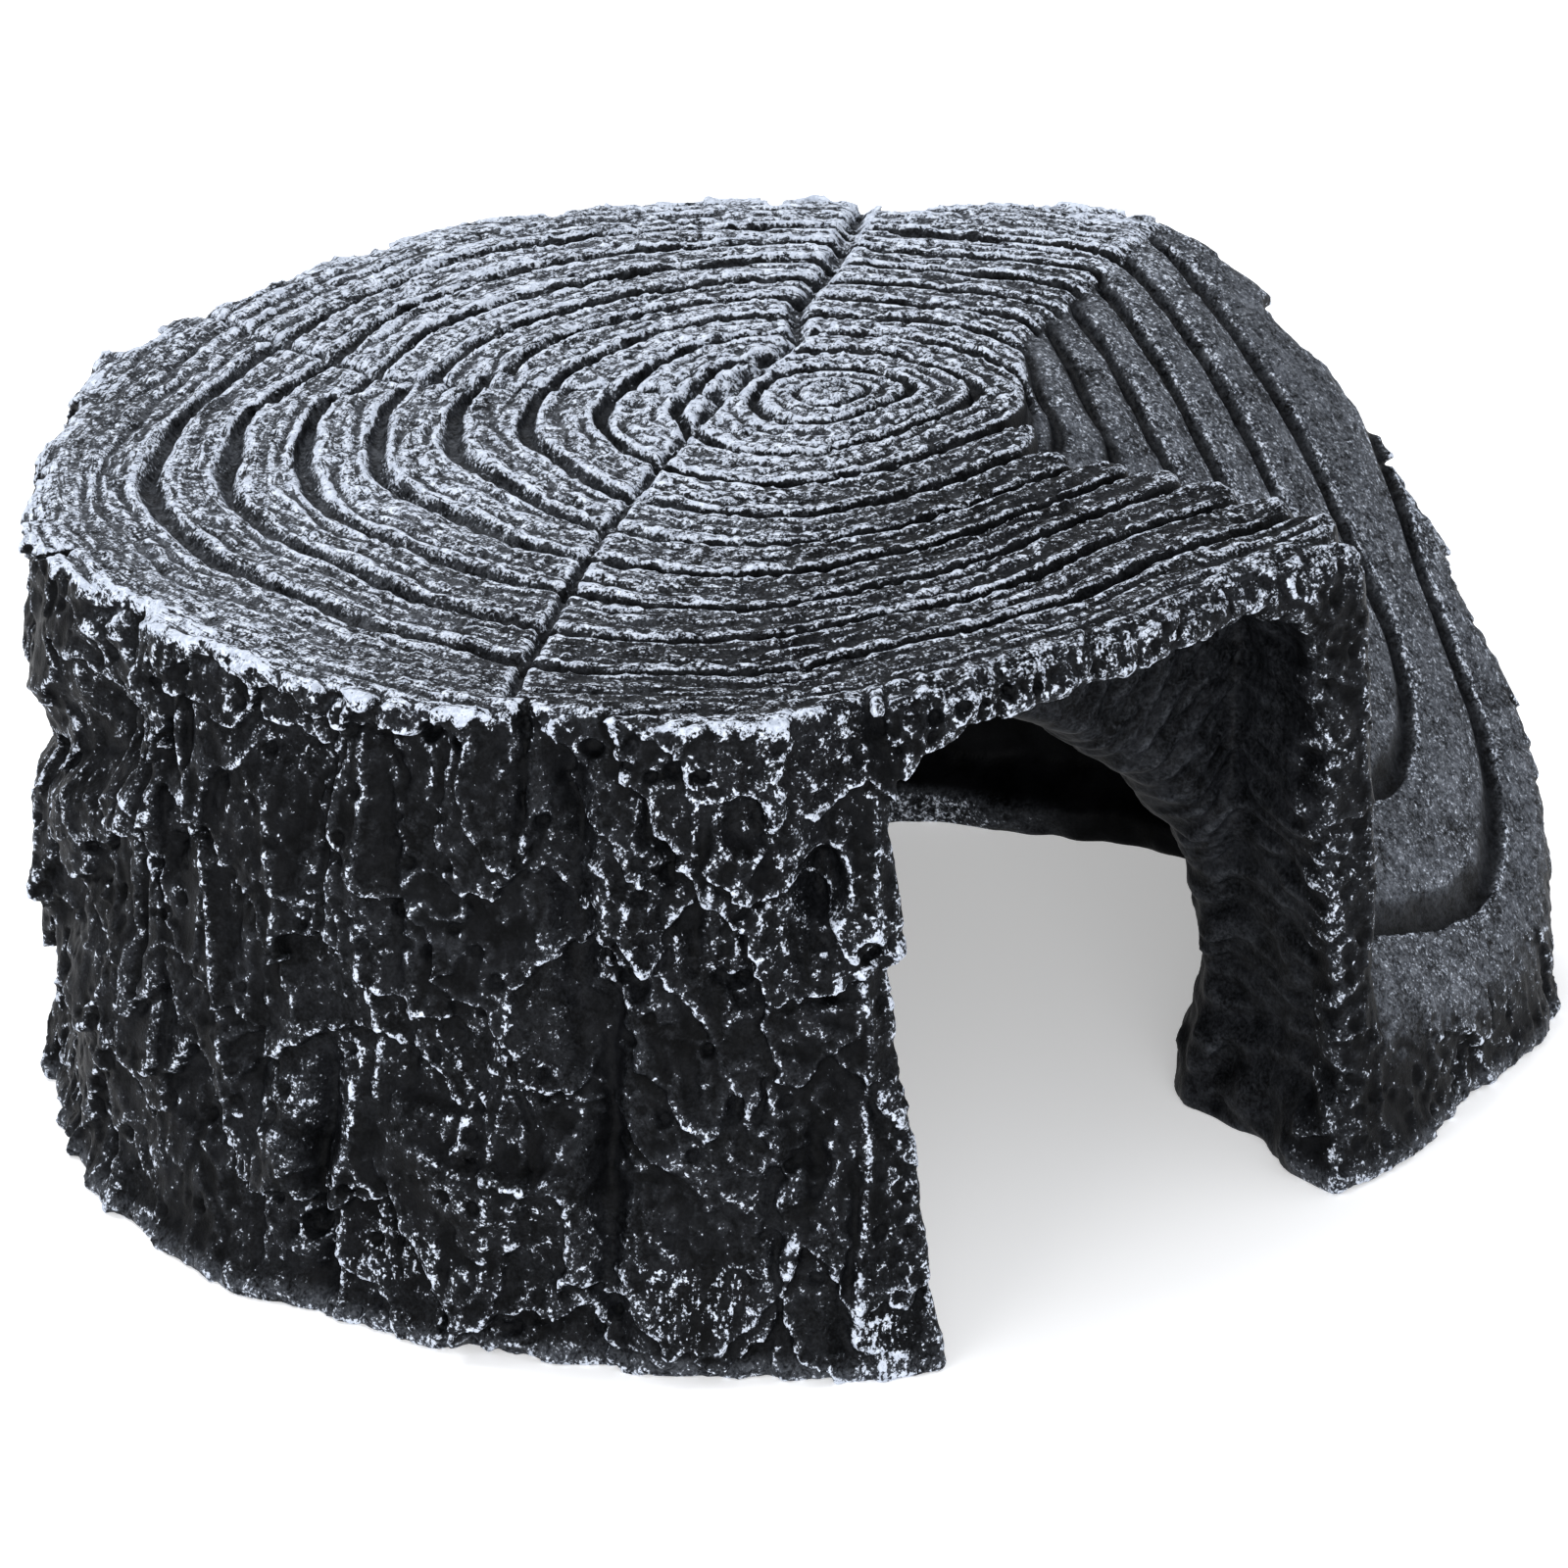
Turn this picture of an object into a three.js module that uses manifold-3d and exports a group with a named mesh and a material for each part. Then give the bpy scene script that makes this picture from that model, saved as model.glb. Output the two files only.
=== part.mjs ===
// Tree-stump cave for an aquarium or terrarium, cast in one piece of resin.
//
// A hollow stump shell, open underneath, has a flat deck carved with growth rings, a wide
// doorway in its front and a slope that leads down from the deck beside the doorway.
// Units are millimetres and +Z is up. The front, with the doorway, faces -Y. The origin is
// at the centre of the footprint, at the height of the foot.

import * as THREE from 'three';
import { LoftGeometry } from 'three/addons/geometries/LoftGeometry.js';
import { mergeVertices } from 'three/addons/utils/BufferGeometryUtils.js';
import Module from 'manifold-3d';

// Overall sizes
const HEIGHT = 70;
const WALL = 7;
const DECK_THICKNESS = 5;
const SLOPE_THICKNESS = 6.25;
const RIM_ROUNDING = 1.6;
const OUTLINE_SEGMENTS = 96;

// How far the shapes that cut the stump run past it: upwards or downwards, and sideways
const MARGIN = 40;
const FAR = 120;

// The pith, where the growth rings are centred, seen from the origin
const PITH = { x: 11.77, y: 4.44 };

// Outline of the stump, counter-clockwise from the left door jamb, measured from the pith.
// Each row holds a point on the rim of the deck and the point of the foot below it.
const OUTLINE = [
  { rim: [-41.5, -63.5], foot: [-47, -71] },
  { rim: [-20, -65.5], foot: [-20, -67] },
  { rim: [0, -64], foot: [0, -67] },
  { rim: [18, -63.5], foot: [17, -67.5] },
  { rim: [37, -60.5], foot: [36, -61.5] },
  { rim: [52, -54.5], foot: [51.5, -56] },
  { rim: [61.5, -43], foot: [62, -44] },
  { rim: [63, -22], foot: [65, -22] },
  { rim: [59, -2], foot: [62.5, -3] },
  { rim: [54.5, 13], foot: [57.5, 13] },
  { rim: [34, 39], foot: [36.5, 40] },
  { rim: [1, 59], foot: [1, 60] },
  { rim: [-34, 59], foot: [-35, 60] },
  { rim: [-67.5, 43.5], foot: [-67, 43.5] },
  { rim: [-84.5, 25], foot: [-83, 25] },
  { rim: [-88.5, 3], foot: [-88, 3] },
  { rim: [-85.5, -25], foot: [-86.5, -23] },
  { rim: [-75, -45], foot: [-76, -47.5] },
  { rim: [-59, -58], foot: [-62, -62] },
];

// Growth rings: how many, and how far out they lie as fractions of the outline
const RING_COUNT = 9;
const INNER_RING = 0.105;
const RING_STEP = 0.093;
const RING_SEGMENTS = 44;
const GROOVE_WIDTH = 1.4;
const GROOVE_DEPTH = 1;

// Slope beside the doorway. It falls away from a straight crease across the deck, and gets
// steeper towards its toe.
const CREASE_TURN = THREE.MathUtils.degToRad(24);
const CREASE_DISTANCE = 11.8;
const SLOPE_AT_CREASE = 0.4;
const SLOPE_STEEPENING = 0.0102;
const SLOPE_RUN = 66;
const SLOPE_STEPS = 12;
// Edge of the deck above the slope, from the crease forward to the front
const STEP_EDGE = [[25, -2], [6.5, -25.5], [12.5, -37], [16, -46.5], [18.5, -55], [18.5, -63]];

// Growth rings carved in the slope. Each follows the outline at a fraction of the way out, and
// the fractions widen outwards. From a bearing round to the crease the rings rise away from
// the outline's shape, and the last one runs off the rim. Bearings are seen from the pith.
const SLOPE_RING_COUNT = 7;
const INNER_SLOPE_RING = 0.31;
const SLOPE_RING_STEP = 0.075;
const SLOPE_RING_WIDENING = 0.0045;
const SLOPE_RING_RISE = 0.12;
const LAST_RING_RISE = 0.25;
const RISE_BEARING = THREE.MathUtils.degToRad(-28);
const RISE_CURVE = 1.25;
const SLOPE_RING_START = THREE.MathUtils.degToRad(-85);
const SLOPE_RING_END = THREE.MathUtils.degToRad(22);

// Doorway in the front, as heights above the foot against x from the pith
const DOOR = { left: -46, haunch: -36, crown: -22, right: 12 };
const DOOR_JAMB_HEIGHT = 56;
const DOOR_HAUNCH_HEIGHT = 64;
const DOOR_HEIGHT = HEIGHT - DECK_THICKNESS;
const DOOR_CORNER = 6;
const DOOR_DEPTH = 16;

// Solid post between the doorway and the slope; behind it the hollow runs on under the slope
const POST_EDGE = [[11, -90], [11, -63], [13.5, -44.5], [18, -39], [45, -31], [90, -20], [90, -90]];

const wasm = await Module();
wasm.setup();

// Turns a closed three.js geometry into a solid.
function solid(geometry) {
  const bare = new THREE.BufferGeometry().copy(geometry);
  bare.deleteAttribute('normal');
  bare.deleteAttribute('uv');
  const merged = mergeVertices(bare, 1e-4);
  const vertProperties = new Float32Array(merged.attributes.position.array);
  const triVerts = new Uint32Array(merged.index.array);
  return new wasm.Manifold(new wasm.Mesh({ numProp: 3, vertProperties, triVerts }));
}

// Turns a solid back into a three.js geometry.
function geometryOf(body) {
  const { vertProperties, triVerts, numProp } = body.getMesh();
  const count = vertProperties.length / numProp;
  const positions = new Float32Array(count * 3);
  for (let i = 0; i < count; i += 1) {
    for (let axis = 0; axis < 3; axis += 1) {
      positions[3 * i + axis] = vertProperties[numProp * i + axis];
    }
  }
  const geometry = new THREE.BufferGeometry();
  geometry.setAttribute('position', new THREE.BufferAttribute(positions, 3));
  geometry.setIndex(new THREE.BufferAttribute(new Uint32Array(triVerts), 1));
  geometry.computeVertexNormals();
  return geometry;
}

// Smooth closed curve through one side of the outline, 'rim' or 'foot', as plan points.
function outlinePoints(side, segments) {
  const corners = OUTLINE.map((row) => new THREE.Vector3(row[side][0], row[side][1], 0));
  const curve = new THREE.CatmullRomCurve3(corners, true, 'centripetal');
  const points = [];
  for (let i = 0; i < segments; i += 1) {
    const at = curve.getPoint(i / segments);
    points.push(new THREE.Vector2(at.x, at.y));
  }
  return points;
}

// Moves a closed counter-clockwise plan outline inwards by a distance.
function inset(points, distance) {
  return points.map((point, i) => {
    const before = points[(i + points.length - 1) % points.length];
    const after = points[(i + 1) % points.length];
    const along = after.clone().sub(before).normalize();
    return new THREE.Vector2(point.x - along.y * distance, point.y + along.x * distance);
  });
}

// One level of a loft: a plan outline lifted to a height.
function level(points, z) {
  return points.map((point) => new THREE.Vector3(point.x, point.y, z));
}

// Closed loft through plan outlines at rising heights.
function loft(levels) {
  return solid(new LoftGeometry(levels, { capStart: true, capEnd: true }));
}

// Upright prism over a plan outline, between two heights.
function prism(points, bottom, top) {
  const shape = new THREE.Shape(points);
  const geometry = new THREE.ExtrudeGeometry(shape, { depth: top - bottom, bevelEnabled: false });
  geometry.translate(0, 0, bottom);
  return solid(geometry);
}

// Section, in an upright plane along the fall line, of the space above the slope's surface.
// It is lowered by a depth and drawn at one place along the crease.
function slopeSection(along, depth) {
  const profile = [[0, HEIGHT + MARGIN]];
  for (let i = 0; i <= SLOPE_STEPS; i += 1) {
    const run = (SLOPE_RUN * i) / SLOPE_STEPS;
    const fall = SLOPE_AT_CREASE * run + SLOPE_STEEPENING * run * run;
    profile.push([run, HEIGHT - depth - fall]);
  }
  profile.push([SLOPE_RUN + MARGIN, -depth]);
  profile.push([SLOPE_RUN + MARGIN, HEIGHT + MARGIN]);
  return profile.map(([run, z]) => {
    const downhill = CREASE_DISTANCE + run;
    return new THREE.Vector3(
      along * Math.cos(CREASE_TURN) + downhill * Math.sin(CREASE_TURN),
      along * Math.sin(CREASE_TURN) - downhill * Math.cos(CREASE_TURN),
      z,
    );
  });
}

// Everything above the slope's surface, lowered by a depth, all across the stump.
function aboveSlope(depth) {
  return loft([slopeSection(FAR, depth), slopeSection(-FAR, depth)]);
}

// Plan area that the slope takes: everything to the right of the deck's step edge.
function slopeArea() {
  const points = STEP_EDGE.map(([x, y]) => new THREE.Vector2(x, y));
  const creaseEnd = STEP_EDGE[0][1] + (FAR - STEP_EDGE[0][0]) * Math.tan(CREASE_TURN);
  points.push(new THREE.Vector2(points.at(-1).x, -FAR));
  points.push(new THREE.Vector2(FAR, -FAR));
  points.push(new THREE.Vector2(FAR, creaseEnd));
  return points;
}

// The stump with its rounded rim and the slope cut away, before hollowing.
function stump() {
  const foot = outlinePoints('foot', OUTLINE_SEGMENTS);
  const rim = outlinePoints('rim', OUTLINE_SEGMENTS);
  const block = loft([
    level(foot, 0),
    level(rim, HEIGHT - RIM_ROUNDING),
    level(inset(rim, RIM_ROUNDING), HEIGHT),
  ]);
  return block.subtract(aboveSlope(0).intersect(prism(slopeArea(), -MARGIN, HEIGHT + MARGIN)));
}

// The space inside the shell, open underneath, kept clear of the deck, the slope and the post.
function hollow() {
  const foot = inset(outlinePoints('foot', OUTLINE_SEGMENTS), WALL);
  const rim = inset(outlinePoints('rim', OUTLINE_SEGMENTS), WALL);
  const room = loft([level(foot, -MARGIN), level(foot, 0), level(rim, HEIGHT - DECK_THICKNESS)]);
  const area = slopeArea().map((point) => new THREE.Vector2(point.x - WALL, point.y));
  const overSlope = aboveSlope(SLOPE_THICKNESS).intersect(prism(area, -MARGIN, HEIGHT + MARGIN));
  const post = prism(POST_EDGE.map(([x, y]) => new THREE.Vector2(x, y)), -MARGIN, HEIGHT + MARGIN);
  return room.subtract(overSlope).subtract(post);
}

// The doorway: a left jamb with a rounded haunch, a nearly flat head and a small corner at
// the post.
function doorway() {
  const shape = new THREE.Shape();
  shape.moveTo(DOOR.left, -MARGIN);
  shape.lineTo(DOOR.left, DOOR_JAMB_HEIGHT);
  shape.quadraticCurveTo(DOOR.left, DOOR_HAUNCH_HEIGHT, DOOR.haunch, DOOR_HAUNCH_HEIGHT);
  shape.lineTo(DOOR.crown, DOOR_HEIGHT);
  shape.lineTo(DOOR.right - DOOR_CORNER, DOOR_HEIGHT);
  shape.quadraticCurveTo(DOOR.right, DOOR_HEIGHT, DOOR.right, DOOR_HEIGHT - DOOR_CORNER);
  shape.lineTo(POST_EDGE[0][0], -MARGIN);
  const geometry = new THREE.ExtrudeGeometry(shape, {
    depth: MARGIN + DOOR_DEPTH,
    bevelEnabled: false,
    curveSegments: 8,
  });
  geometry.rotateX(Math.PI / 2);
  const front = Math.min(...OUTLINE.map((row) => row.rim[1]));
  geometry.translate(0, front + DOOR_DEPTH, 0);
  return solid(geometry);
}

// Plan line of one ring carved in the slope, from inside the step to above the crease.
function slopeRing(index) {
  const fraction = INNER_SLOPE_RING + SLOPE_RING_STEP * index + SLOPE_RING_WIDENING * index ** 2;
  const rise = index === SLOPE_RING_COUNT - 1 ? LAST_RING_RISE : SLOPE_RING_RISE;
  const line = [];
  outlinePoints('rim', OUTLINE_SEGMENTS).forEach((point) => {
    const bearing = Math.atan2(point.y, point.x);
    if (bearing > SLOPE_RING_START && bearing < SLOPE_RING_END) {
      const risen = Math.max(1 - bearing / RISE_BEARING, 0) ** RISE_CURVE;
      line.push(point.multiplyScalar(fraction + rise * risen));
    }
  });
  return line;
}

// Plan area of a narrow band of even width along a line.
function band(points) {
  const side = (offset) => points.map((point, i) => {
    const before = points[Math.max(i - 1, 0)];
    const after = points[Math.min(i + 1, points.length - 1)];
    const along = after.clone().sub(before).normalize();
    return new THREE.Vector2(point.x - along.y * offset, point.y + along.x * offset);
  });
  return side(-GROOVE_WIDTH / 2).concat(side(GROOVE_WIDTH / 2).reverse());
}

// One growth ring's groove: a narrow band that follows the outline, cut to an even depth.
function ringGroove(fraction) {
  const middle = outlinePoints('rim', RING_SEGMENTS).map((point) => point.multiplyScalar(fraction));
  const outer = prism(inset(middle, -GROOVE_WIDTH / 2), HEIGHT - GROOVE_DEPTH, HEIGHT + MARGIN);
  const inner = prism(inset(middle, GROOVE_WIDTH / 2), -MARGIN, HEIGHT + 2 * MARGIN);
  return outer.subtract(inner);
}

// All the grooves of the slope, cut to an even depth below its surface.
function slopeGrooves() {
  const skin = aboveSlope(GROOVE_DEPTH).intersect(prism(slopeArea(), 0, HEIGHT + MARGIN));
  let grooves = prism(band(slopeRing(0)), 0, HEIGHT + MARGIN);
  for (let i = 1; i < SLOPE_RING_COUNT; i += 1) {
    grooves = grooves.add(prism(band(slopeRing(i)), 0, HEIGHT + MARGIN));
  }
  return grooves.intersect(skin);
}

function caveCasting() {
  let body = stump().subtract(hollow()).subtract(doorway()).subtract(slopeGrooves());
  for (let i = 0; i < RING_COUNT; i += 1) {
    body = body.subtract(ringGroove(INNER_RING + i * RING_STEP));
  }
  const resin = new THREE.MeshStandardMaterial({ color: 0x2b2c30, roughness: 0.7, metalness: 0 });
  const mesh = new THREE.Mesh(geometryOf(body), resin);
  mesh.name = 'cave_casting';
  mesh.position.set(PITH.x, PITH.y, 0);
  return mesh;
}

const cave = new THREE.Group();
cave.add(caveCasting());

export default cave;
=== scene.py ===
"""Looks of the cast resin tree-stump cave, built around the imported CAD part.

The casting is one piece. Its skin is made here as an implicit surface: the stump, slope,
hollow, doorway and post of the CAD solid with soft edges, plus two relief maps, one for the
deck and the slope seen from above and one for the bark rolled out flat. Lengths in the
modelling part are millimetres from the pith at foot height; the mesh is then moved and
scaled into the frame, in metres.
"""

import math

import bpy
import numpy as np
import openvdb
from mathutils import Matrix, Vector


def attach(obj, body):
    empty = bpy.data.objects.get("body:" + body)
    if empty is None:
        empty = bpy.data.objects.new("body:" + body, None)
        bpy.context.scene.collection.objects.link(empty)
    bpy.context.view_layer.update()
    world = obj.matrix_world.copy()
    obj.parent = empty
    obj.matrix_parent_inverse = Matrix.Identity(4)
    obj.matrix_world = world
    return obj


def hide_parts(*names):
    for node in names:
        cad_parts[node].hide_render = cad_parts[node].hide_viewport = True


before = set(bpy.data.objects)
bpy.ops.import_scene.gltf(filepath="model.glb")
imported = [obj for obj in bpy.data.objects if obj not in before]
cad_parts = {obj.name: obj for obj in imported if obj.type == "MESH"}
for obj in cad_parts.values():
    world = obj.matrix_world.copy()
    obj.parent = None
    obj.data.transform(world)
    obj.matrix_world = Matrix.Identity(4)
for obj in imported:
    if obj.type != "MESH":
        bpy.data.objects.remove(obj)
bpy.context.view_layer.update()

MM = 0.001
SEED = 7
CRUMB_SEED = 37

# The CAD solid's sizes
HEIGHT = 70.0
WALL = 7.0
DECK_THICKNESS = 5.0
SLOPE_THICKNESS = 6.25
PITH = (11.77, 4.44)
RIM = [
    (-41.5, -63.5), (-20, -65.5), (0, -64), (18, -63.5), (37, -60.5), (52, -54.5), (61.5, -43),
    (63, -22), (59, -2), (54.5, 13), (34, 39), (1, 59), (-34, 59), (-67.5, 43.5), (-84.5, 25),
    (-88.5, 3), (-85.5, -25), (-75, -45), (-59, -58),
]
FOOT = [
    (-47, -71), (-20, -67), (0, -67), (17, -67.5), (36, -61.5), (51.5, -56), (62, -44),
    (65, -22), (62.5, -3), (57.5, 13), (36.5, 40), (1, 60), (-35, 60), (-67, 43.5), (-83, 25),
    (-88, 3), (-86.5, -23), (-76, -47.5), (-62, -62),
]
CREASE_TURN = math.radians(24)
CREASE_DISTANCE = 11.8
SLOPE_AT_CREASE = 0.4
SLOPE_STEEPENING = 0.0102
STEP_EDGE = [(25, -2), (6.5, -25.5), (12.5, -37), (16, -46.5), (18.5, -55), (18.5, -63)]
DOOR_LEFT, DOOR_RIGHT = -46.0, 12.0
DOOR_JAMB_HEIGHT, DOOR_HEIGHT = 56.0, 65.0
DOOR_BACK = -49.5
POST_EDGE = [(11, -90), (11, -63), (13.5, -44.5), (18, -39), (45, -31), (90, -20), (90, -90)]
FAR = 120.0

# Growth rings, as fractions of the way from the pith to the rim
INNER_RING = 0.105
RING_STEP = 0.093
LAST_RING = 8
# The heart inside the first ring, in rings
HEART_RING = -0.62

# Growth rings carved in the slope, as fractions of the way to the rim that widen outwards.
# Round to the crease they rise away from the outline, and the last one runs off the rim.
SLOPE_RING_COUNT = 7
INNER_SLOPE_RING = 0.31
SLOPE_RING_STEP = 0.075
SLOPE_RING_WIDENING = 0.0045
SLOPE_RING_RISE = 0.12
LAST_RING_RISE = 0.25
RISE_BEARING = math.radians(-28)
RISE_CURVE = 1.25
SLOPE_RING_START = math.radians(-85)
SLOPE_RING_END = math.radians(22)
SLOPE_RING_POINTS = 24

# Patches brushed with streaks of paint: bearing in degrees, height, half width, half height
BRUSHED = [(-159, 10, 6, 4), (-138.5, 8, 6, 5), (-127, 3, 3, 5)]

# How far the bark's middle stands out from the CAD wall
BARK_OUT = 0.1
# Plates of the bark: width, height, how far out, noise seed
BARK_PLATES = [(14, 24, 2.2, 25), (8, 13, 1.4, 26), (3.4, 4.6, 0.30, 35)]
# Small holes: pitch, noise seed, share of cells without one, edge and middle as shares of the
# pitch, depth. The last kind is only in the lintel.
LINTEL_PIT_SEED = 73
BARK_HOLES = [
    (3.1, 31, 0.86, 0.3, 0.16, 0.8), (1.5, 32, 0.8, 0.42, 0.2, 0.35),
    (2.3, LINTEL_PIT_SEED, 0.62, 0.36, 0.2, 0.9),
]
# How far the wall swells out: at bearings along the back rim, and at heights on the left side
RIM_WAVE = [
    (28, 0), (35, 0.6), (44, -1.4), (52, 0), (107, 0), (118, -1.3), (122, 0.4), (127, 1.8),
    (133, 2.4), (140, 0),
]
LEFT_PROFILE = [
    (0, -0.4), (10, -1.6), (15, -1.3), (21, -0.7), (28, 0.2), (35, 1.0), (39, 0.9), (43.5, -2.8),
    (47, -2.2), (51, 0.0), (70, 0.0),
]

# Upright furrows in the bark: bearing in degrees, lowest, highest, half width, depth, lean
FURROWS = [
    (-144.6, 3, 40, 1.9, 2.8, -1.0), (-147.0, 34, 66, 2.1, 2.6, -1.5), (-165.3, 3, 29, 1.5, 3.2, 0.5),
    (-150.8, 54, 71, 0.5, 1.2, -1.0), (-158.5, 28, 60, 0.9, 1.1, -3.0), (-171.0, 4, 34, 1.1, 1.4, 1.0),
    (-131.5, 46, 62, 1.6, 1.6, 1.0), (178.0, 30, 64, 0.8, 1.4, 0.0), (150.0, 6, 52, 1.6, 2.2, 2.0),
    (128.0, 10, 64, 1.2, 2.0, -2.0), (104.0, 0, 50, 1.8, 2.4, 2.0), (84.0, 16, 68, 1.0, 1.8, 1.0),
    (62.0, 0, 55, 1.6, 2.4, -2.0), (40.0, 8, 66, 1.3, 2.2, 1.0), (20.0, 0, 48, 1.5, 2.2, 1.0),
    (-6.0, 0, 40, 1.2, 1.8, 0.5),
]
# Upright ridges: bearing, lowest, highest, half width, how far out, lean
RIDGES = [
    (-172.0, 22, 66, 0.9, 1.5, -9.0), (-167.0, 30, 60, 0.8, 1.1, -4.0), (-170.0, 4, 24, 0.8, 0.9, -1.5),
    (-161.0, 24, 64, 0.7, 1.0, -1.5), (-164.0, 2, 30, 0.8, 1.1, 2.0), (-128.5, 4, 62, 0.8, 1.0, 2.5),
    (-153.0, 6, 40, 0.7, 0.7, 3.0), (-76.0, 2, 66, 0.8, 0.8, 0.5),
]
# Ledges: bearing, height, half length, how far out
LEDGES = [
    (-152.0, 22.5, 8, 1.8), (-157.0, 27, 5, 1.3), (-133.0, 40.5, 7, 1.0), (-167.0, 20.0, 5, 1.2),
    (-137.0, 28, 6, 1.2), (140.0, 30, 10, 1.8), (112.0, 42, 9, 1.6), (76.0, 26, 10, 1.8),
    (50.0, 40, 8, 1.6), (28.0, 24, 8, 1.6), (4.0, 22, 7, 1.4),
]
# Hollows: bearing, height, half width, half height, depth, turn in degrees
HOLLOWS = [
    (174, 58, 8, 7, 1.6, 30), (-143.9, 44.0, 1.9, 4.3, 2.0, 24), (-127.6, 45, 1.5, 1.5, 1.9, 0),
    (-136.3, 42.2, 1.1, 1.1, 1.3, 0), (-136.4, 51.3, 1.3, 1.5, 1.0, 0), (-136, 60, 2.6, 3.2, 1.2, 20),
    (-131, 52, 3.0, 4.0, 2.4, 0), (-166.5, 9, 1.3, 1.8, 2.0, 0), (-157.4, 66.6, 1.1, 1.1, 1.5, 0),
    (-155.2, 66.2, 0.9, 0.9, 1.3, 0), (-146.6, 66.4, 1.5, 1.1, 1.4, 0),
    (-144.0, 65.8, 0.9, 0.8, 1.2, 0), (-139.0, 65.0, 1.1, 0.9, 1.3, 0), (120, 36, 4.0, 3.0, 1.6, 30),
    (66, 50, 3.0, 4.0, 1.8, -20), (34, 12, 3.0, 3.5, 1.6, 10), (-122.5, 66.8, 0.9, 0.9, 1.5, 0),
    (-120.2, 67.3, 1.1, 0.9, 1.6, 0), (-118.3, 67.0, 0.8, 0.8, 1.5, 0),
    (-116.0, 67.4, 0.9, 0.9, 1.5, 0), (-113.6, 67.2, 0.7, 0.7, 1.3, 0),
    (-109.5, 67.6, 0.8, 0.8, 1.4, 0), (-98, 67.4, 0.6, 0.6, 1.0, 0),
]

# Cracks in the deck, from the rim to the pith
CRACKS = [
    [(-74, -38), (-60, -27), (-40, -12), (-9, 7)],
    [(-38, 60), (-34, 33), (-25, 23), (-9, 7)],
    [(37, 38), (22, 26), (12, 20), (6, 13), (-9, 7)],
]
CRACK_HALF_WIDTH = [0.5, 0.6, 0.85]
CRACK_DEPTH = [1.4, 1.3, 1.6]

# Resolution
VOXEL = 0.40
MAP_PIXEL = 0.25
MAP_MARGIN = 2

# Corners of the grid that the casting is worked out on, and its signed distances' half band
GRID_LOW = (-95.0, -77.0, -3.0)
GRID_HIGH = (71.0, 66.0, 74.0)
BAND = 3.0
# How far from the wall the bark's relief is applied
BARK_REACH = 7

# Paint
SOOT = (0.0010, 0.0011, 0.0013, 1)
PALE_SOOT = (0.0034, 0.0036, 0.0043, 1)
CHALK = (0.36, 0.40, 0.48, 1)
PALE_CHALK = (0.62, 0.67, 0.76, 1)
# How the upright streaks are stretched
UPRIGHT_STRETCH = (1.0, 1.0, 0.09)

# Camera: direction, distance in metres and lens in millimetres, and how far the pith on the
# deck lies to the right of the picture's middle and above it, in metres
AZIMUTH = math.radians(-40)
ELEVATION = math.radians(25)
DISTANCE = 1.3
LENS = 286.65
PITH_RIGHT = 0.0051
PITH_UP = 0.0408

# Floor and lights. Each light: name, place, size, watts
FLOOR_HALF = 3.0
FLOOR_COLOUR = (0.86, 0.86, 0.87, 1)
FLOOR_GLOW = 0.40
LIGHTS = [
    ("top_light", (-0.15, 0.35, 0.9), 0.7, 6.0),
    ("left_light", (-0.9, -0.25, 0.45), 0.5, 2.0),
    ("front_light", (-0.55, -0.90, 0.24), 0.6, 4.2),
]
LIT_PLACE = Vector((0, 0, 0.03))
SKY_COLOUR = (0.95, 0.97, 1.0, 1)
SKY_STRENGTH = 0.85


# ---------------------------------------------------------------- noise

def gradients(seed):
    """256 random unit vectors."""
    rows = np.random.default_rng(seed).normal(size=(256, 3))
    return (rows / np.linalg.norm(rows, axis=1, keepdims=True)).astype(np.float32)


def noise(x, y, z, seed=0):
    """Gradient noise, about -1 to 1, one feature per unit."""
    x, y, z = np.broadcast_arrays(x, y, z)
    x0, y0, z0 = np.floor(x), np.floor(y), np.floor(z)
    fx, fy, fz = (x - x0).astype(np.float32), (y - y0).astype(np.float32), (z - z0).astype(np.float32)
    xi, yi, zi = x0.astype(np.int64), y0.astype(np.int64), z0.astype(np.int64)
    table = gradients(SEED + seed)
    ease = [f * f * f * (f * (f * 6 - 15) + 10) for f in (fx, fy, fz)]
    total = 0
    for i in (0, 1):
        for j in (0, 1):
            for k in (0, 1):
                mixed = ((xi + i) * 73856093) ^ ((yi + j) * 19349663) ^ ((zi + k) * 83492791)
                g = table[(mixed ^ (mixed >> 13)) & 255]
                dot = g[..., 0] * (fx - i) + g[..., 1] * (fy - j) + g[..., 2] * (fz - k)
                weight = 1
                for e, corner in zip(ease, (i, j, k)):
                    weight = weight * (e if corner else 1 - e)
                total = total + dot * weight
    return total * 1.6


def fractal(x, y, z, seed, octaves):
    """Sum of noises, each at twice the pitch and half the height of the one before."""
    total, height = 0, 1.0
    for i in range(octaves):
        scale = 2.0 ** i
        total = total + height * noise(x * scale, y * scale, z * scale, seed + i)
        height *= 0.5
    return total


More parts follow.
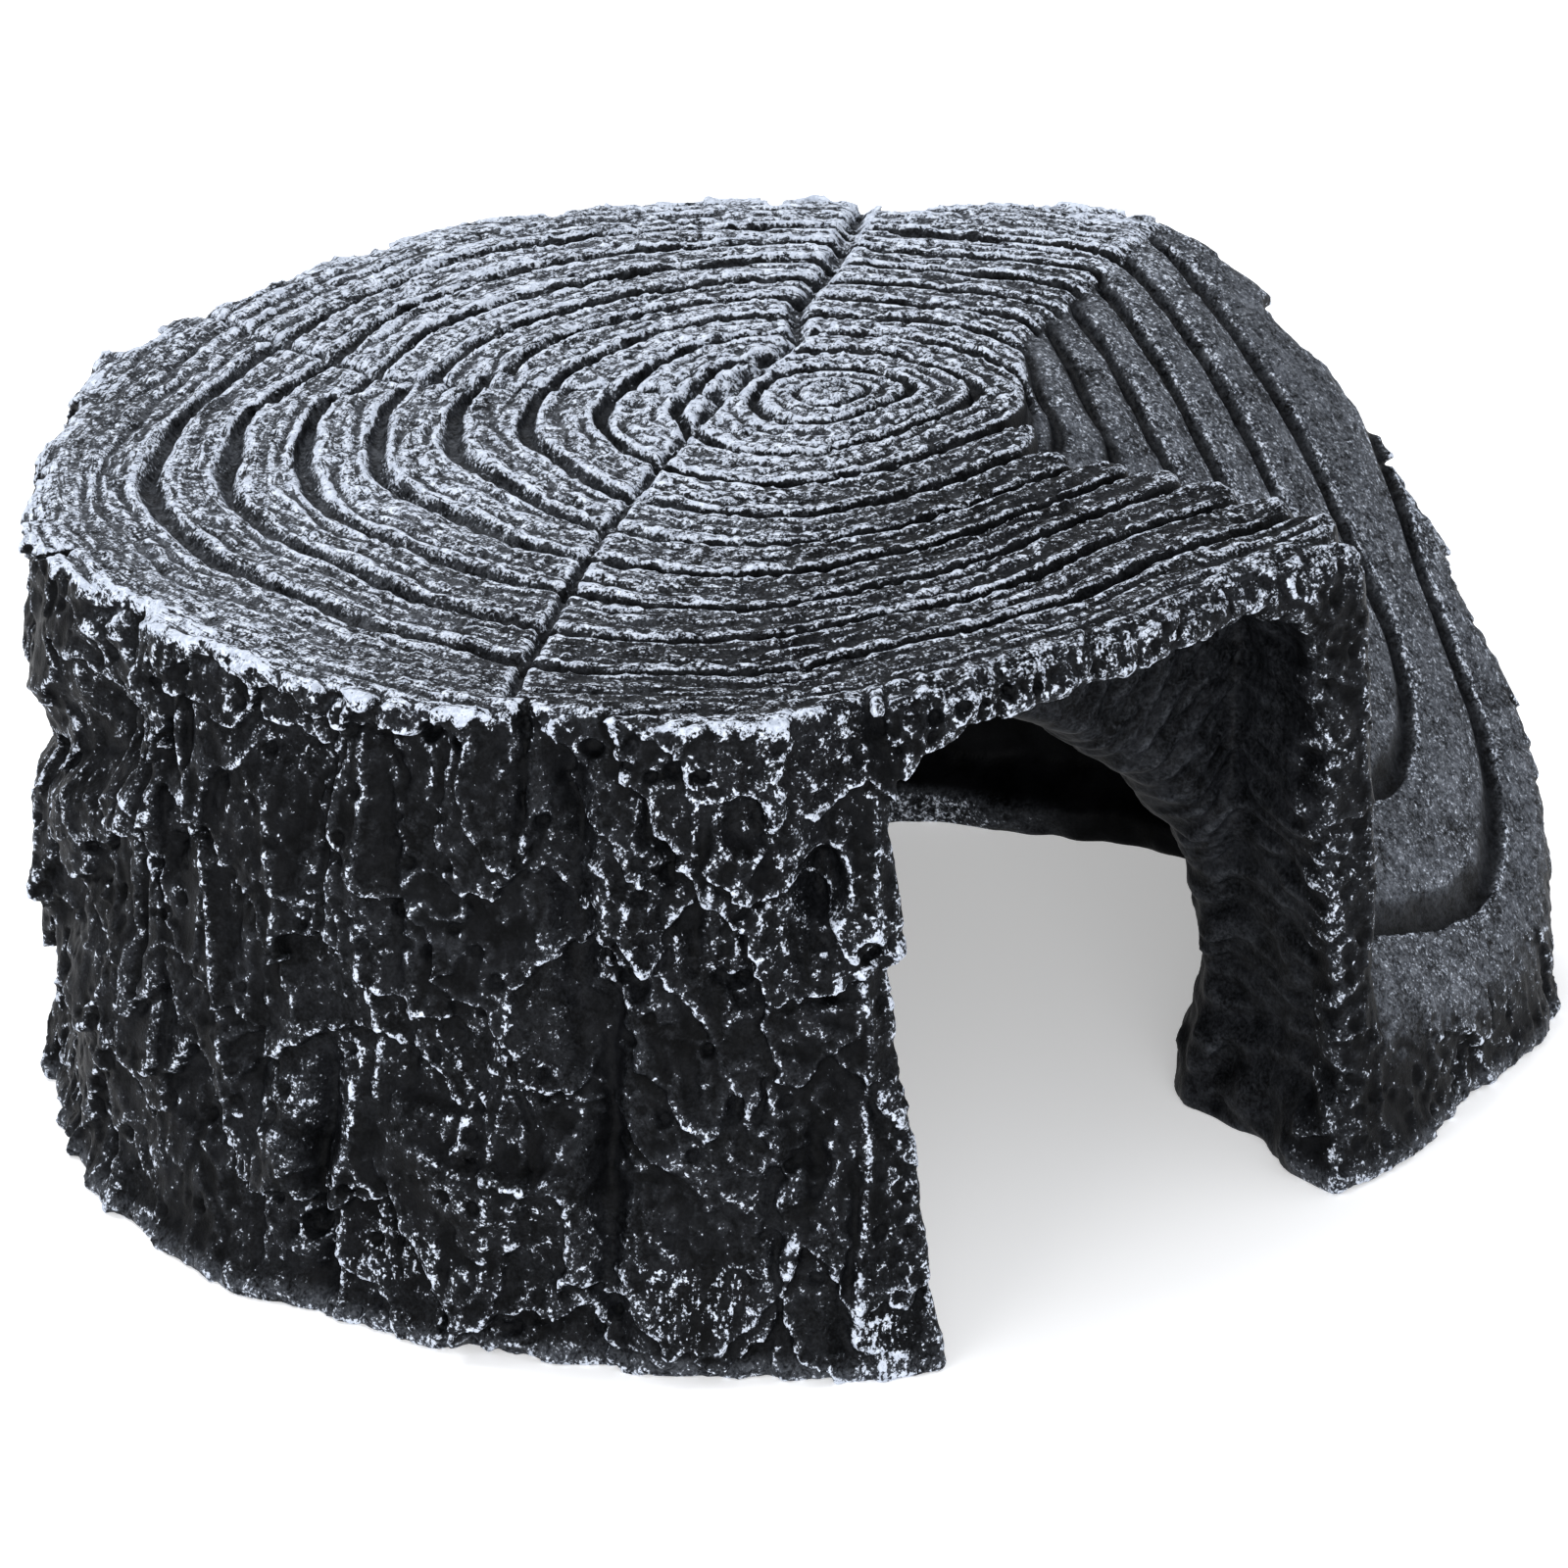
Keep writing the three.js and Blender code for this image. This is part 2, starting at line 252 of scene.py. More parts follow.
def cells(u, v, seed, across=0):
    """Random cells on a plane: distance to the nearest centre, the offset from it, and a
    random number for its cell. `across` makes u repeat."""
    u0, v0 = np.floor(u).astype(np.int64), np.floor(v).astype(np.int64)
    table = np.random.default_rng(SEED + seed).random((4096, 3)).astype(np.float32)
    nearest = np.full(u.shape, 1e9, np.float32)
    du, dv, pick = nearest.copy(), nearest.copy(), nearest.copy()
    for i in (-1, 0, 1):
        for j in (-1, 0, 1):
            column = (u0 + i) % across if across else u0 + i
            row = table[((column * 7919) ^ ((v0 + j) * 104729)) & 4095]
            a = u0 + i + row[..., 0] - u
            b = v0 + j + row[..., 1] - v
            far = np.hypot(a, b).astype(np.float32)
            nearer = far < nearest
            du, dv = np.where(nearer, -a, du), np.where(nearer, -b, dv)
            pick = np.where(nearer, row[..., 2], pick)
            nearest = np.where(nearer, far, nearest)
    return nearest, du, dv, pick


def slow_noise(axes, pitch, seed):
    """Noise on a fine grid, worked out on a coarse one and filled in between."""
    coarse = [np.arange(a[0], a[-1] + pitch / 2, pitch / 4) for a in axes]
    made = noise(*np.meshgrid(*(a / pitch for a in coarse), indexing="ij"), seed).astype(np.float32)
    for i, (fine, rough) in enumerate(zip(axes, coarse)):
        at = (fine - rough[0]) / (pitch / 4)
        low = np.clip(np.floor(at).astype(int), 0, len(rough) - 2)
        share = (at - low).astype(np.float32).reshape([-1 if k == i else 1 for k in range(3)])
        made = made.take(low, i) * (1 - share) + made.take(low + 1, i) * share
    return made


def step(low, high, x):
    """Smooth step from 0 at low to 1 at high."""
    t = np.clip((x - low) / (high - low), 0, 1)
    return t * t * (3 - 2 * t)


def soft_max(a, b, radius):
    """Larger of two distances, with the corner between them rounded."""
    h = np.maximum(radius - np.abs(a - b), 0) / radius
    return np.maximum(a, b) + h * h * radius * 0.25


def soft_min(a, b, radius):
    """Smaller of two distances, with the corner between them rounded."""
    return -soft_max(-a, -b, radius)


# ---------------------------------------------------------------- outlines

def smooth_outline(points, per_span=8):
    """Closed centripetal Catmull-Rom curve through points."""
    p = np.array(points, float)
    made = []
    for i in range(len(p)):
        a, b, c, d = (p[(i + k) % len(p)] for k in (-1, 0, 1, 2))
        ab, bc, cd = (math.sqrt(np.linalg.norm(q - r)) for q, r in ((b, a), (c, b), (d, c)))
        t1 = ((b - a) / ab - (c - a) / (ab + bc) + (c - b) / bc) * bc
        t2 = ((c - b) / bc - (d - b) / (bc + cd) + (d - c) / cd) * bc
        for t in np.arange(per_span) / per_span:
            curve = (2 * t**3 - 3 * t**2 + 1) * b + (t**3 - 2 * t**2 + t) * t1
            made.append(curve + (3 * t**2 - 2 * t**3) * c + (t**3 - t**2) * t2)
    return np.array(made)


def to_polyline(x, y, points, closed=False):
    """Distance from each place to a line through points."""
    nearest = np.full(np.shape(x), 1e9)
    p = [np.array(q, float) for q in points]
    for a, b in zip(p, p[1:] + p[:1] if closed else p[1:]):
        run = b - a
        t = np.clip(((x - a[0]) * run[0] + (y - a[1]) * run[1]) / (run @ run), 0, 1)
        nearest = np.minimum(nearest, np.hypot(x - a[0] - t * run[0], y - a[1] - t * run[1]))
    return nearest


def in_polygon(x, y, points):
    """Whether each place is inside a polygon."""
    inside = np.zeros(np.shape(x), bool)
    p = [np.array(q, float) for q in points]
    for a, b in zip(p, p[1:] + p[:1]):
        if a[1] != b[1]:
            crossing = (a[1] > y) != (b[1] > y)
            inside ^= crossing & (x < (b[0] - a[0]) * (y - a[1]) / (b[1] - a[1]) + a[0])
    return inside


def to_polygon(x, y, points):
    """Signed distance to a polygon, negative inside."""
    distance = to_polyline(x, y, points, closed=True)
    return np.where(in_polygon(x, y, points), -distance, distance)


rim = smooth_outline(RIM)
foot = smooth_outline(FOOT)
rim_bearing = np.arctan2(rim[:, 1], rim[:, 0])
rim_order = np.argsort(rim_bearing)
rim_bearing = rim_bearing[rim_order]
rim_reach = np.hypot(rim[:, 0], rim[:, 1])[rim_order]
turn = np.linspace(-math.pi, math.pi, 2001)
reach_at_turn = np.interp(turn, rim_bearing, rim_reach, period=2 * math.pi)
turn_x, turn_y = reach_at_turn * np.cos(turn), reach_at_turn * np.sin(turn)
girth_at_turn = np.concatenate([[0], np.cumsum(np.hypot(np.diff(turn_x), np.diff(turn_y)))])
GIRTH = float(girth_at_turn[-1])


def reach(bearing):
    """Distance from the pith to the rim."""
    return np.interp(bearing, turn, reach_at_turn)


def along_girth(bearing):
    """Distance round the rim, from straight left of the pith."""
    return np.interp(bearing, turn, girth_at_turn)


def slope_area():
    """Plan polygon of the slope."""
    crease_end = STEP_EDGE[0][1] + (FAR - STEP_EDGE[0][0]) * math.tan(CREASE_TURN)
    return STEP_EDGE + [(STEP_EDGE[-1][0], -FAR), (FAR, -FAR), (FAR, crease_end)]


def slope_height(x, y):
    """Height of the slope's surface, and how steep it is."""
    down = x * math.sin(CREASE_TURN) - y * math.cos(CREASE_TURN) - CREASE_DISTANCE
    run = np.maximum(down, 0)
    height = HEIGHT - SLOPE_AT_CREASE * down - SLOPE_STEEPENING * run * run
    return height, SLOPE_AT_CREASE + 2 * SLOPE_STEEPENING * run


# ---------------------------------------------------------------- relief of deck and slope

def ring_place(x, y):
    """How many rings out a place is, how wide a ring is there, and its bearing."""
    bearing = np.arctan2(y, x)
    out = np.hypot(x, y)
    width = RING_STEP * reach(bearing)
    wander = 0.14 * noise(x / 17, y / 17, 0.3, 1) + 0.05 * noise(x / 5, y / 5, 0.7, 2)
    ring = out / width - INNER_RING / RING_STEP + wander
    across = to_polyline(x, y, CRACKS[1]) * np.where(x < -20, 1, 0.5)
    above = np.where(y > 28 - 0.35 * (x + 30), 1.0, -1.0)
    ring = ring + 0.16 * above * np.exp(-(across / 16) ** 2) * step(-10, -30, x)
    return ring, width, bearing


def groove_gap(ring, width):
    """Distance to the nearest groove between the deck's rings."""
    gap = np.abs(ring - np.clip(np.round(ring), 0, LAST_RING)) * width
    return np.minimum(gap, np.abs(ring - HEART_RING) * width + 0.35)


def rounded_land(ring):
    """Round profile across each ring: 1 at its middle, near 0 at the grooves beside it."""
    from_middle = 1 - 2 * np.abs(ring - np.round(ring))
    return np.sqrt(1 - 0.98 * from_middle ** 2)


def groove_half(x, y, bearing):
    """Half width of the deck's grooves: widest on the left, between the first two cracks."""
    left = step(148, 158, np.degrees(bearing) % 360) * step(212, 200, np.degrees(bearing) % 360)
    return 0.72 + 0.22 * noise(x / 7, y / 7, 2.0, 3) + 0.45 * left * step(25, 40, np.hypot(x, y))


def land_relief(ring, width, bearing, x, y):
    """The deck: grooves between the rings, fainter lines between them and torn grain."""
    near = ring - np.round(ring)
    gap = groove_gap(ring, width)
    around = (np.cos(bearing) * 6, np.sin(bearing) * 6)
    half = groove_half(x, y, bearing)
    out = np.hypot(x, y)
    heart = step(26, 10, out)
    depth = (1.35 + 0.35 * noise(x / 10, y / 10, 1.0, 4)) * (1 - 0.45 * heart - 0.3 * step(5, 40, y))
    relief = -depth * np.exp(-(gap / half) ** 4) + 0.4 * (0.5 - 2 * near * near)
    relief = relief + 0.22 * near

    third = ring * 3 + 0.45 * noise(*around, ring * 2, 5)
    line_gap = np.abs(third - np.round(third)) * width / 3
    gate = step(-0.2, 0.3, noise(around[0] * 0.7, around[1] * 0.7, np.round(third) * 3.1, 6) + 0.4 * heart)
    relief = relief - 0.65 * gate * np.exp(-(line_gap / 0.42) ** 2)

    grain = 1 - 2 * np.abs(noise(*around, ring * 4.6, 7))
    torn = 1 - 2 * np.abs(noise(around[0] * 4.2, around[1] * 4.2, ring * 8, 8))
    crinkle = 1 - 2 * np.abs(noise(x / 1.9, y / 1.9, 9.0, 13))
    rough = 0.20 * grain + 0.22 * torn + 0.24 * crinkle
    return relief + rough * (0.35 + 0.65 * step(0.4, 1.1, gap))


def slope_ring(index):
    """Plan line of one ring carved in the slope, from inside the step to above the crease."""
    bearing = np.linspace(SLOPE_RING_START, SLOPE_RING_END, SLOPE_RING_POINTS)
    fraction = INNER_SLOPE_RING + SLOPE_RING_STEP * index + SLOPE_RING_WIDENING * index**2
    rise = LAST_RING_RISE if index == SLOPE_RING_COUNT - 1 else SLOPE_RING_RISE
    risen = np.maximum(1 - bearing / RISE_BEARING, 0) ** RISE_CURVE
    out = reach(bearing) * (fraction + rise * risen)
    return np.stack([out * np.cos(bearing), out * np.sin(bearing)], axis=1)


def slope_gap(x, y):
    """Distance to the nearest groove carved in the slope."""
    wobble = 0.35 * noise(x / 6, y / 6, 2.0, 3)
    rings = [slope_ring(i) for i in range(SLOPE_RING_COUNT)]
    return np.minimum.reduce([to_polyline(x, y, line) for line in rings]) + wobble


def slope_relief(x, y):
    """The slope: broad rounded bands with a wide groove between each pair."""
    gap = slope_gap(x, y)
    size = 0.55 + 0.45 * step(24, 42, np.hypot(x, y))
    half = (0.85 + 0.2 * noise(x / 9, y / 9, 2.0, 3)) * size
    relief = -1.6 * size * np.exp(-(gap / half) ** 4) + 0.6 * (np.clip(gap / 3.5, 0, 1) - 0.5)
    return relief + 0.12 * fractal(x / 2.4, y / 2.4, 6.0, 15, 2)


def deck_relief(x, y):
    """Height of the carving over the plain deck or slope."""
    ring, width, bearing = ring_place(x, y)
    to_slope = to_polygon(x, y, slope_area())
    on_slope = step(0.8, -0.8, to_slope)
    knuckle = step(7, 0.5, to_slope) * step(-8, -16, y)
    relief = land_relief(ring, width, bearing, x, y)
    relief = (relief + knuckle * (2.4 * rounded_land(ring) - 1.9)) * (1 - on_slope)
    relief = relief + slope_relief(x, y) * on_slope
    relief = relief + 0.07 * fractal(x / 1.3, y / 1.3, 4.0, 9, 2)
    relief = relief + 0.45 * noise(x / 20, y / 20, 5.0, 11) + 0.4 * step(30, 55, y + 0.4 * x)
    for i, (crack, half, depth) in enumerate(zip(CRACKS, CRACK_HALF_WIDTH, CRACK_DEPTH)):
        wobble = 1.3 * noise(x / 6, y / 6, 6.0 + i, 12) + 0.9 * noise(x / 2, y / 2, 8.0 + i, 16)
        slot = np.exp(-((to_polyline(x, y, crack) + 0.45 * wobble) / (half + 0.2 * wobble)) ** 2)
        relief = relief - depth * slot * (1 - on_slope)
    return relief


# ---------------------------------------------------------------- relief of the bark

def bark_relief():
    """Map of how far the bark stands out from the plain wall, by distance round the rim and
    height."""
    columns = int(round(GIRTH / MAP_PIXEL))
    rows = int(round((HEIGHT + 2 * MAP_MARGIN) / MAP_PIXEL))
    s = (np.arange(columns) * GIRTH / columns)[:, None]
    z = (np.arange(rows) * MAP_PIXEL - MAP_MARGIN)[None, :]
    bearing = np.interp(s, girth_at_turn, turn)
    x, y = reach(bearing) * np.cos(bearing), reach(bearing) * np.sin(bearing)
    lintel, post = lintel_and_post(x, y)
    crumbly = crumbliness(x, y, z)
    bend = 3.2 * noise(x / 13, y / 13, z / 17, 20) + 1.3 * fractal(x / 3.5, y / 3.5, z / 3.5, 33, 2)
    lift = 4.5 * noise(x / 14, y / 14, z / 12, 21) + 1.5 * fractal(x / 3.5, y / 3.5, z / 3.5, 34, 2)

    relief = bark_plates(s, z, x, y, bend, lift)
    relief = relief + bark_fibre(x, y, z) * (1 - lintel) + bark_crumbs(x, y, z, crumbly)
    relief = relief + bark_holes(s, z, lintel) + bark_seams(x, y, z, bend, lift)
    relief = relief + bark_net(x, y, z) * (0.12 * crumbly + 0.45 * lintel + 0.35 * post)
    relief = relief + bark_features(s, z)
    relief = relief * (1 - 0.3 * lintel - 0.25 * post)
    return relief + left_profile(s, z) + wall_shape(np.degrees(bearing), z)


def crumbliness(x, y, z):
    """Where the bark is crumbly, from 0 to 1."""
    return step(-0.3, 0.4, noise(x / 13, y / 13, z / 13, CRUMB_SEED))


def bark_plates(s, z, x, y, bend, lift):
    """Lumps, overlapping plates of three sizes and the fissures between them."""
    lumps = 1.5 * noise(x / 22, y / 22, z / 26, 22) + 1.1 * noise(x / 9, y / 9, z / 14, 23)
    relief = 0.8 * lumps + BARK_OUT
    for wide, tall, high, seed in BARK_PLATES:
        count = int(round(GIRTH / wide))
        u, v = (s + bend) * count / GIRTH, (z + lift + 0.35 * s) / tall
        _, du, dv, pick = cells(u, v, seed, count)
        relief = relief + high * (0.75 * (pick - 0.5) - 0.85 * dv + 0.5 * du * (pick - 0.5))
    fissure = np.abs(noise(x / 9 + bend / 9, y / 9, z / 40, 24))
    gate = step(0.0, 0.4, noise(x / 15, y / 15, z / 18, 36))
    return relief - 1.1 * gate * np.exp(-(fissure / 0.11) ** 2)


def bark_fibre(x, y, z):
    """Upright fibres, in patches."""
    fibre = 0.30 * (1 - 2 * np.abs(noise(x / 1.6, y / 1.6, z / 9, 27)))
    return fibre * step(-0.2, 0.5, noise(x / 14, y / 14, z / 20, 28))


def bark_crumbs(x, y, z, crumbly):
    """Small crumbs, with coarser ones along the rim."""
    crumb = (0.08 + 0.16 * crumbly) * fractal(x / 2.6, y / 2.6, z / 3.0, 29, 3)
    return crumb + 0.5 * noise(x / 3, y / 3, z / 3, 30) * step(60, 68, z)


def bark_holes(s, z, lintel):
    """Bubble holes and pores all over, and pits in the lintel."""
    made = 0.0
    for pitch, seed, rare, edge, middle, deep in BARK_HOLES:
        count = int(round(GIRTH / pitch))
        nearest, _, _, pick = cells(s * count / GIRTH, z / pitch, seed, count)
        hole = np.where(pick > rare, 1, 0) * step(edge, middle, nearest) * -deep
        made = made + (hole * lintel if seed == LINTEL_PIT_SEED else hole)
    return made


def bark_seams(x, y, z, bend, lift):
    """Thin raised seams that wander across the plates."""
    seam = np.exp(-np.abs(noise(x / 9 + bend / 9, y / 9, z / 12 + lift / 12, 71)) / 0.05)
    return 0.7 * seam * step(-0.05, 0.35, noise(x / 12, y / 12, z / 10, 72))


def bark_net(x, y, z):
    """A fine raised net."""
    return np.exp(-np.abs(noise(x / 3.4, y / 3.4, z / 3.0, 70)) / 0.06)


def wall_shape(degrees, z):
    """Broad swells of the wall: the right belly, the tucked toe, the rim's wave, the foot's lip."""
    right_belly = 2.2 * step(-54, -38, degrees) * step(40, 28, degrees) * step(12, 26, z)
    right_belly = right_belly + 1.4 * np.exp(-((degrees + 6) / 13) ** 2) * step(40, 52, z)
    toe_tuck = 0.4 * step(-64, -56, degrees) * step(-30, -40, degrees) * step(26, 16, z)
    rim_wave = np.interp(degrees, *zip(*RIM_WAVE)) * step(35, 55, z)
    foot_lip = (0.7 + 0.8 * step(-164, -172, degrees)) * step(5, 1, z)
    return right_belly - toe_tuck + foot_lip + rim_wave


def lintel_and_post(x, y):
    """How far a place is in the front lintel, and in the post."""
    front = step(-45, -55, y)
    return step(-50, -42, x) * front, step(2, 12, x) * step(-36, -46, y)


def round_from(s, bearing):
    """Signed distance round the rim from a bearing in degrees."""
    gap = s - along_girth(math.radians(bearing))
    return (gap + GIRTH / 2) % GIRTH - GIRTH / 2


def left_profile(s, z):
    """The left side's big wave: a lip at the top, a notch, a belly and a drawn-in foot."""
    rise = 0.38 * np.maximum(round_from(s, 161), 0) * step(25, 42, z)
    out = np.interp(z - rise, *zip(*LEFT_PROFILE))
    low_down = np.exp(-(round_from(s, 160) / 11) ** 4)
    high_up = np.exp(-(round_from(s, 167) / 24) ** 6)
    return out * (low_down + (high_up - low_down) * step(18, 30, z))


def bark_features(s, z):
    """The large marks, each placed by its bearing and height."""
    wavy = 0.9 * noise(s / 5, z / 9, 3.0, 40)
    return 0.35 * wavy - furrows(s, z, wavy) + ridges(s, z, wavy) + ledges(s, z, wavy) + hollows(s, z)


def furrows(s, z, wavy):
    """Depth of the upright furrows."""
    made = 0.0
    for bearing, low, high, wide, deep, lean in FURROWS:
        middle = lean * (z - low) / (high - low) + wavy
        ends = step(low - 4, low + 3, z) * step(high + 4, high - 3, z)
        made = made + deep * ends * np.exp(-((round_from(s, bearing) - middle) / wide) ** 2)
    return made


def ridges(s, z, wavy):
    """Height of the upright ridges."""
    made = 0.0
    for bearing, low, high, wide, out, lean in RIDGES:
        middle = lean * (z - low) / (high - low) + 1.3 * wavy
        ends = step(low - 2, low + 4, z) * step(high + 2, high - 5, z)
        made = made + out * ends * np.exp(-np.abs((round_from(s, bearing) - middle) / wide) ** 1.5)
    return made


def ledges(s, z, wavy):
    """Height of the ledges, each with a shelf on top that fades downwards."""
    made = 0.0
    for bearing, height, half, out in LEDGES:
        below = height - z + 1.5 * wavy
        shelf = step(-0.5, 0.9, below) * step(13, 2, below)
        made = made + out * shelf * np.exp(-(round_from(s, bearing) / half) ** 4)
    return made


def hollows(s, z):
    """The hollows, each with a faint raised edge."""
    made = 0.0
    for bearing, height, wide, tall, deep, tilt in HOLLOWS:
        a, b = math.cos(math.radians(tilt)), math.sin(math.radians(tilt))
        across, up = round_from(s, bearing), z - height
        size = np.hypot((a * across + b * up) / wide, (a * up - b * across) / tall)
        raised = 0.28 * np.exp(-((size - 1.12) / 0.12) ** 2)
        made = made - deep * step(1.08, 0.55, size) + raised
    return made


def sample(table, u, v):
    """Bilinear look-up at fractional rows and columns; rows repeat."""
    rows, columns = table.shape
    v = np.clip(v, 0, columns - 1.001)
    i, j = np.floor(u).astype(np.int64), np.floor(v).astype(np.int64)
    a, b = (u - i).astype(np.float32), (v - j).astype(np.float32)
    i0, i1 = i % rows, (i + 1) % rows
    low = table[i0, j] * (1 - a) + table[i1, j] * a
    high = table[i0, j + 1] * (1 - a) + table[i1, j + 1] * a
    return low * (1 - b) + high * b


# ---------------------------------------------------------------- the casting as a field

def casting_field():
    """Signed distance to the casting's skin, on the grid."""
    corners = zip(GRID_LOW, GRID_HIGH)
    xs, ys, zs = (np.arange(low, high, VOXEL).astype(np.float32) for low, high in corners)
    plan_x, plan_y = np.meshgrid(xs, ys, indexing="ij")
    to_rim = to_polygon(plan_x, plan_y, rim).astype(np.float32)
    to_foot = to_polygon(plan_x, plan_y, foot).astype(np.float32)
    area = to_polygon(plan_x, plan_y, slope_area()).astype(np.float32)
    height, steep = slope_height(plan_x, plan_y)
    lie = np.sqrt(1 + steep ** 2)
    relief = deck_relief(plan_x, plan_y).astype(np.float32)
    bearing = np.arctan2(plan_y, plan_x)
    girth = along_girth(bearing) / GIRTH
    bark = bark_relief().astype(np.float32)

    z = zs[None, None, :]
    share = np.clip(z / HEIGHT, 0, 1)
    wall = to_foot[:, :, None] * (1 - share) + to_rim[:, :, None] * share

    outer = wall.copy()
    near = np.abs(wall) < BARK_REACH
    turns = np.broadcast_to(girth[:, :, None], wall.shape)[near] * bark.shape[0]
    ups = (np.broadcast_to(z, wall.shape)[near] + MAP_MARGIN) / MAP_PIXEL
    outer[near] -= sample(bark, turns, ups)

    lintel, _ = lintel_and_post(plan_x, plan_y)
    near_post = step(-18, 12, plan_x) * step(-38, -52, plan_y)
    roundness = 1.2 + 2.6 * lintel + 1.8 * near_post
    body = soft_max(outer, z - HEIGHT - relief[:, :, None], roundness[:, :, None].astype(np.float32))
    above = (height[:, :, None] + relief[:, :, None] - z) / lie[:, :, None]
    scallop = finger_ends(plan_x, plan_y) * step(7, 3, np.abs(area))
    nibbled = area[:, :, None] - scallop[:, :, None].astype(np.float32) * step(56, 67, z)
    cut = soft_max(above, nibbled, 0.8)
    body = soft_max(body, -cut, 2.4)

    body = soft_max(body, -hollow(xs, ys, zs, wall, height, lie), 1.6)
    body = soft_max(body, -z, 1.0)
    return body.astype(np.float32)


def hollow(xs, ys, zs, wall, height, lie):
    """Signed distance to the space inside and the doorway, kept clear of the post."""
    plan_x, plan_y = np.meshgrid(xs, ys, indexing="ij")
    x, y, z = plan_x[:, :, None], plan_y[:, :, None], zs[None, None, :]
    lumpy = 0.8 * slow_noise((xs, ys, zs), 9.0, 50) + 0.3 * slow_noise((xs, ys, zs), 3.5, 51)
    flange = (3.4 + 1.6 * lumpy) * step(8.5, 3.0, z)
    room = soft_max(wall + WALL + flange + lumpy, z - (HEIGHT - DECK_THICKNESS) + 0.5 * lumpy, 5.0)
    shifted = to_polygon(plan_x + WALL, plan_y, slope_area()).astype(np.float32)
    over = (height[:, :, None] - SLOPE_THICKNESS - z) / lie[:, :, None]
    room = soft_max(room, -soft_max(over, shifted[:, :, None], 3.0), 4.0)
    post = to_polygon(plan_x, plan_y, POST_EDGE).astype(np.float32)[:, :, None]
    flare = 16.0 * np.clip((z - 14) / 31, 0, 1.6) ** 2.4 + 2.4 * step(15, 1, z)
    room = soft_max(room, -(post - flare) + 1.2 * lumpy, 4.0)
    door = soft_max(doorway(xs, zs)[:, None, :] + 0.8 * lumpy, y - DOOR_BACK, 2.0)
    post_keep = soft_max(door, -(post - 2.4 * step(15, 1, z)) + 1.2 * lumpy, 1.5)
    space = soft_min(room, post_keep, 6.0)
    trowel_strokes(space, x, y, z)
    return space


def trowel_strokes(space, x, y, z):
    """Slanting strokes on the inside of the post and doorway, added to the hollow's field."""
    here = np.abs(space) < 2
    here &= (y < -30) & (x > -14)
    at_x, at_y, at_z = (np.broadcast_to(a, space.shape)[here] for a in (x, y, z))
    fade = step(-30, -38, at_y) * step(-14, -6, at_x)
    slant = noise((at_x + at_z) / 8, at_y / 5, (at_z - at_x) / 2.2, 74)
    space[here] += 0.8 * fade * slant


def finger_ends(x, y):
    """How far the step edge is cut back, so that each ring ends in a rounded tip."""
    ring, _, _ = ring_place(x, y)
    return 4.6 * (1 - rounded_land(ring)) * step(-6, -14, y)


def doorway(xs, zs):
    """Signed distance to the doorway's shape in its upright plane."""
    x, z = np.meshgrid(xs, zs, indexing="ij")
    arch = [(DOOR_LEFT, -20), (DOOR_LEFT, DOOR_JAMB_HEIGHT), (-44, 60.5), (-41, 63.2), (-36, 64.2),
            (-30, 65), (DOOR_RIGHT - 9, DOOR_HEIGHT), (DOOR_RIGHT - 3, DOOR_HEIGHT - 2.5),
            (DOOR_RIGHT + 1, DOOR_HEIGHT - 8), (DOOR_RIGHT + 1, -20)]
    return to_polygon(x, z, arch).astype(np.float32)


# ---------------------------------------------------------------- the casting as a mesh

def smoothed(points, edges, times):
    """Each point moved to the middle of its neighbours, several times over."""
    count = len(points)
    ends = np.concatenate([edges[:, 0], edges[:, 1]])
    others = np.concatenate([edges[:, 1], edges[:, 0]])
    share = np.bincount(ends, minlength=count)[:, None].clip(1)
    for _ in range(times):
        total = np.stack([np.bincount(ends, points[others, i], count) for i in range(3)], 1)
        points = 0.5 * points + 0.5 * total / share
    return points


def add_attribute(mesh, name, values):
    """Numbers or vectors stored on the mesh's points."""
    kind = "FLOAT" if values.ndim == 1 else "FLOAT_VECTOR"
    layer = mesh.attributes.new(name, kind, "POINT")
    layer.data.foreach_set("value" if values.ndim == 1 else "vector", values.astype(np.float32).ravel())


def skin_mesh(points, faces):
    """Smooth mesh from points in the modelling millimetres and four-sided faces."""
    mesh = bpy.data.meshes.new("stump_cave")
    mesh.vertices.add(len(points))
    mesh.vertices.foreach_set("co", ((points + np.array([*PITH, 0])) * MM).ravel())
    mesh.loops.add(faces.size)
    mesh.loops.foreach_set("vertex_index", faces.ravel())
    mesh.polygons.add(len(faces))
    mesh.polygons.foreach_set("loop_start", np.arange(0, faces.size, 4, dtype=np.int32))
    mesh.update(calc_edges=True)
    mesh.validate()
    mesh.shade_smooth()
    return mesh


def exposure(mesh, points):
    """Normals, and how far each point stands out from its near and from its wide surroundings."""
    edges = np.zeros(len(mesh.edges) * 2, np.int32)
    mesh.edges.foreach_get("vertices", edges)
    edges = edges.reshape(-1, 2)
    normals = np.zeros(len(points) * 3, np.float32)
    mesh.vertices.foreach_get("normal", normals)
    normals = normals.reshape(-1, 3)
    a_little = smoothed(points, edges, 6)
    a_lot = smoothed(a_little, edges, 40)
    fine = ((points - a_little) * normals).sum(1)
    wide = ((a_little - a_lot) * normals).sum(1)
    return normals, fine, wide


